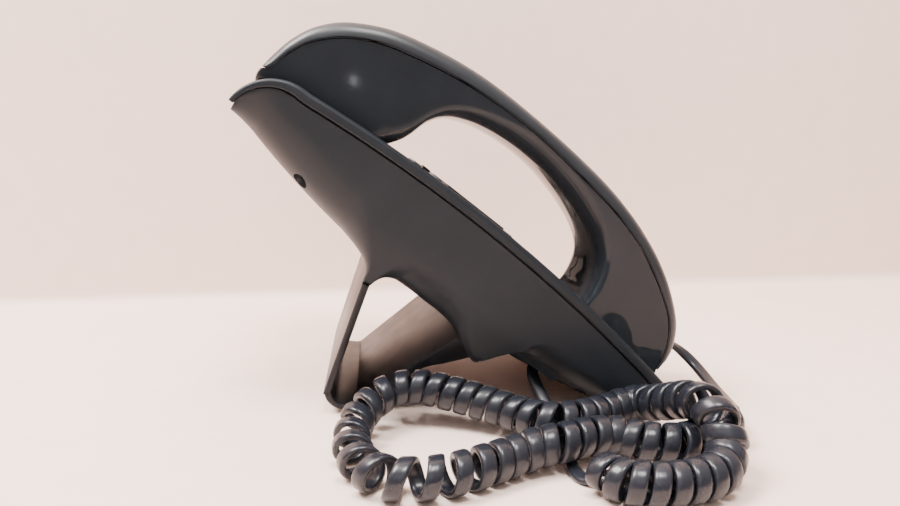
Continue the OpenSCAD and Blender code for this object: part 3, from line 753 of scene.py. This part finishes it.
def shader(name, colour, rough, grain=0.0, grain_depth=0.02, coat=0.0, tint=0.08, smear=0.0,
           metal=0.0, shine=0.5):
    """Moulded plastic or metal: uneven colour and gloss, and a fine spark-eroded grain.
    grain is its size and grain_depth its depth, in mm; smear is extra unevenness of the gloss."""
    mat = bpy.data.materials.new(name)
    mat.use_nodes = True
    tree = mat.node_tree
    new, link = tree.nodes.new, tree.links.new
    body = tree.nodes["Principled BSDF"]
    body.inputs["IOR"].default_value = PLASTIC_IOR
    body.inputs["Metallic"].default_value = metal
    body.inputs["Specular IOR Level"].default_value = shine
    body.inputs["Coat Weight"].default_value = coat
    body.inputs["Coat Roughness"].default_value = COAT_ROUGH
    where = new("ShaderNodeTexCoord")

    def noise_at(size, detail=3.0):
        node = new("ShaderNodeTexNoise")
        node.inputs["Scale"].default_value = 1 / (size * MM)
        node.inputs["Detail"].default_value = detail
        link(where.outputs["Object"], node.inputs["Vector"])
        return node.outputs["Fac"]

    def spread(value, low, high):
        return map_range(tree, value, NOISE_RANGE, (low, high))

    mix = new("ShaderNodeMixRGB")
    mix.blend_type = "MULTIPLY"
    mix.inputs["Fac"].default_value = 1
    mix.inputs["Color1"].default_value = (*colour, 1)
    link(spread(noise_at(PATCH), 1 - tint, 1 + tint), mix.inputs["Color2"])
    link(mix.outputs["Color"], body.inputs["Base Color"])
    gloss = noise_at(SMEAR_PATCH if smear else GLOSS_PATCH, 5)
    gloss = spread(gloss, rough * (1 - 0.1 - smear), rough * (1.1 + smear))
    link(gloss, body.inputs["Roughness"])
    if grain:
        bump = new("ShaderNodeBump")
        bump.inputs["Distance"].default_value = grain_depth * MM
        bump.inputs["Strength"].default_value = 1
        link(noise_at(grain, 2), bump.inputs["Height"])
        link(bump.outputs["Normal"], body.inputs["Normal"])
    return mat


GRAIN = {"grain": 0.35, "grain_depth": 0.015}
FINISHES = {  # slot: colour, roughness, and what else differs
    "housing": ((0.014, 0.018, 0.023), 0.42, {**GRAIN, "shine": 0.22}),
    "handset_outer": ((0.018, 0.022, 0.027), 0.36, {**GRAIN, "shine": 0.42}),
    "handset_inner": ((0.016, 0.020, 0.025), 0.06, {"coat": 0.05, "smear": 0.15, "shine": 0.2}),
    "stand": ((0.014, 0.016, 0.020), 0.34, {"grain": 0.3, "grain_depth": 0.003, "shine": 0.22}),
    "feet": ((0.02, 0.02, 0.02), 0.75, {"grain": 0.6, "grain_depth": 0.05}),
    "window": ((0.006, 0.007, 0.008), 0.06, {"coat": 0.5}),
    "display": ((0.16, 0.19, 0.17), 0.25, {}),
    "mat": ((0.45, 0.45, 0.42), 0.5, {"grain": 0.6}),
    "board": ((0.01, 0.08, 0.03), 0.35, {"grain": 0.8, "grain_depth": 0.01}),
    "metal": ((0.6, 0.6, 0.6), 0.3, {"metal": 1.0, "smear": 0.2}),
    "black": ((0.012, 0.012, 0.012), 0.45, {"grain": 0.4}),
    "lamp": ((0.22, 0.012, 0.012), 0.12, {"coat": 0.4}),
    "key": ((0.04, 0.044, 0.047), 0.36, {"grain": 0.3, "grain_depth": 0.01}),
    "cord": ((0.014, 0.0155, 0.022), 0.30,
             {"grain": 1.2, "grain_depth": 0.008, "coat": 0.1, "smear": 0.15, "shine": 0.42}),
    "plug": ((0.02, 0.02, 0.021), 0.15, {"coat": 0.3}),
    "weight": ((0.2, 0.2, 0.2), 0.5, {"metal": 0.6}),
}
MATERIALS = {name: shader(name, colour, rough, **more)
             for name, (colour, rough, more) in FINISHES.items()}
slots = {row["node"]: row["material_slot"] for row in frame["record"]["subparts"]}
for piece, slot in [(nodes[name], slots[name]) for name in nodes] + worn:
    piece.data.materials.clear()
    piece.data.materials.append(MATERIALS[slot])

# ---------------------------------------------------------------- floor and light

# The floor and the wall, in metres, with a small round where they meet.
FLOOR_BACK, FLOOR_EDGE, STAGE_HALF, WALL_HEIGHT = -1.5, 0.17, 2.0, 1.6
MEET_R = 0.008
floor_corners = [(FLOOR_BACK, -STAGE_HALF, 0), (FLOOR_EDGE, -STAGE_HALF, 0),
                 (FLOOR_EDGE, STAGE_HALF, 0), (FLOOR_BACK, STAGE_HALF, 0)]
floor = new_mesh("floor", floor_corners, [(0, 1, 2, 3)])
wall_rings = []
for y in (-STAGE_HALF, STAGE_HALF):
    ring = [(FLOOR_EDGE, y, 0.0)]
    for k in range(9):
        a = math.radians(90 * k / 8)
        ring.append((FLOOR_EDGE + MEET_R * math.sin(a), y, MEET_R - MEET_R * math.cos(a)))
    ring.append((FLOOR_EDGE + MEET_R, y, WALL_HEIGHT))
    wall_rings.append(ring)
wall = loft("wall", wall_rings, closed=False, caps=False, sharp=89)
paper = shader("paper", (0.95, 0.75, 0.66), 0.6, grain=1.2, grain_depth=0.02, tint=0.015)
for piece in (floor, wall):
    piece.data.materials.append(paper)


def area_light(name, place, target, size, power, colour=(1, 1, 1)):
    """A rectangular light at a place, aimed at a target; metres and watts."""
    light = bpy.data.lights.new(name, "AREA")
    light.shape = "RECTANGLE"
    light.size, light.size_y = size
    light.energy = power
    light.color = colour
    obj = bpy.data.objects.new(name, light)
    scene.collection.objects.link(obj)
    obj.location = place
    obj.rotation_euler = (Vector(target) - Vector(place)).to_track_quat("-Z", "Y").to_euler()


# The world grows brighter towards the zenith, and darker towards the camera's side.
SKY_COLOUR = (1.0, 0.93, 0.88, 1)
world = bpy.data.worlds.new("world")
scene.world = world
world.use_nodes = True
sky = world.node_tree
where = sky.nodes.new("ShaderNodeTexCoord")
split = sky.nodes.new("ShaderNodeSeparateXYZ")
sky.links.new(where.outputs["Generated"], split.inputs["Vector"])
height = map_range(sky, split.outputs["Z"], (-0.1, 0.75), (0.03, 1.5))
side = map_range(sky, split.outputs["X"], (-1.0, 0.2), (0.3, 1.0))
both = sky.nodes.new("ShaderNodeMath")
both.operation = "MULTIPLY"
sky.links.new(height, both.inputs[0])
sky.links.new(side, both.inputs[1])
background = sky.nodes["Background"]
sky.links.new(both.outputs["Value"], background.inputs["Strength"])
background.inputs["Color"].default_value = SKY_COLOUR

# name, place, target, size, watts, colour
area_light("key", (-0.08, 0.7, 1.3), (0, 0, 0.05), (0.6, 0.6), 52, (1.0, 0.96, 0.93))
area_light("fill", (-1.3, 0.2, 0.9), (0, 0, 0.05), (0.9, 0.5), 2, (1.0, 0.95, 0.92))
area_light("wall", (-0.5, -0.1, 1.5), (0.18, -0.05, 0.15), (0.5, 0.5), 31, (1.0, 0.95, 0.92))
area_light("spark", (-0.62, 0.06, 0.18), (-0.06, 0.045, 0.14), (0.004, 0.010), 0.004)
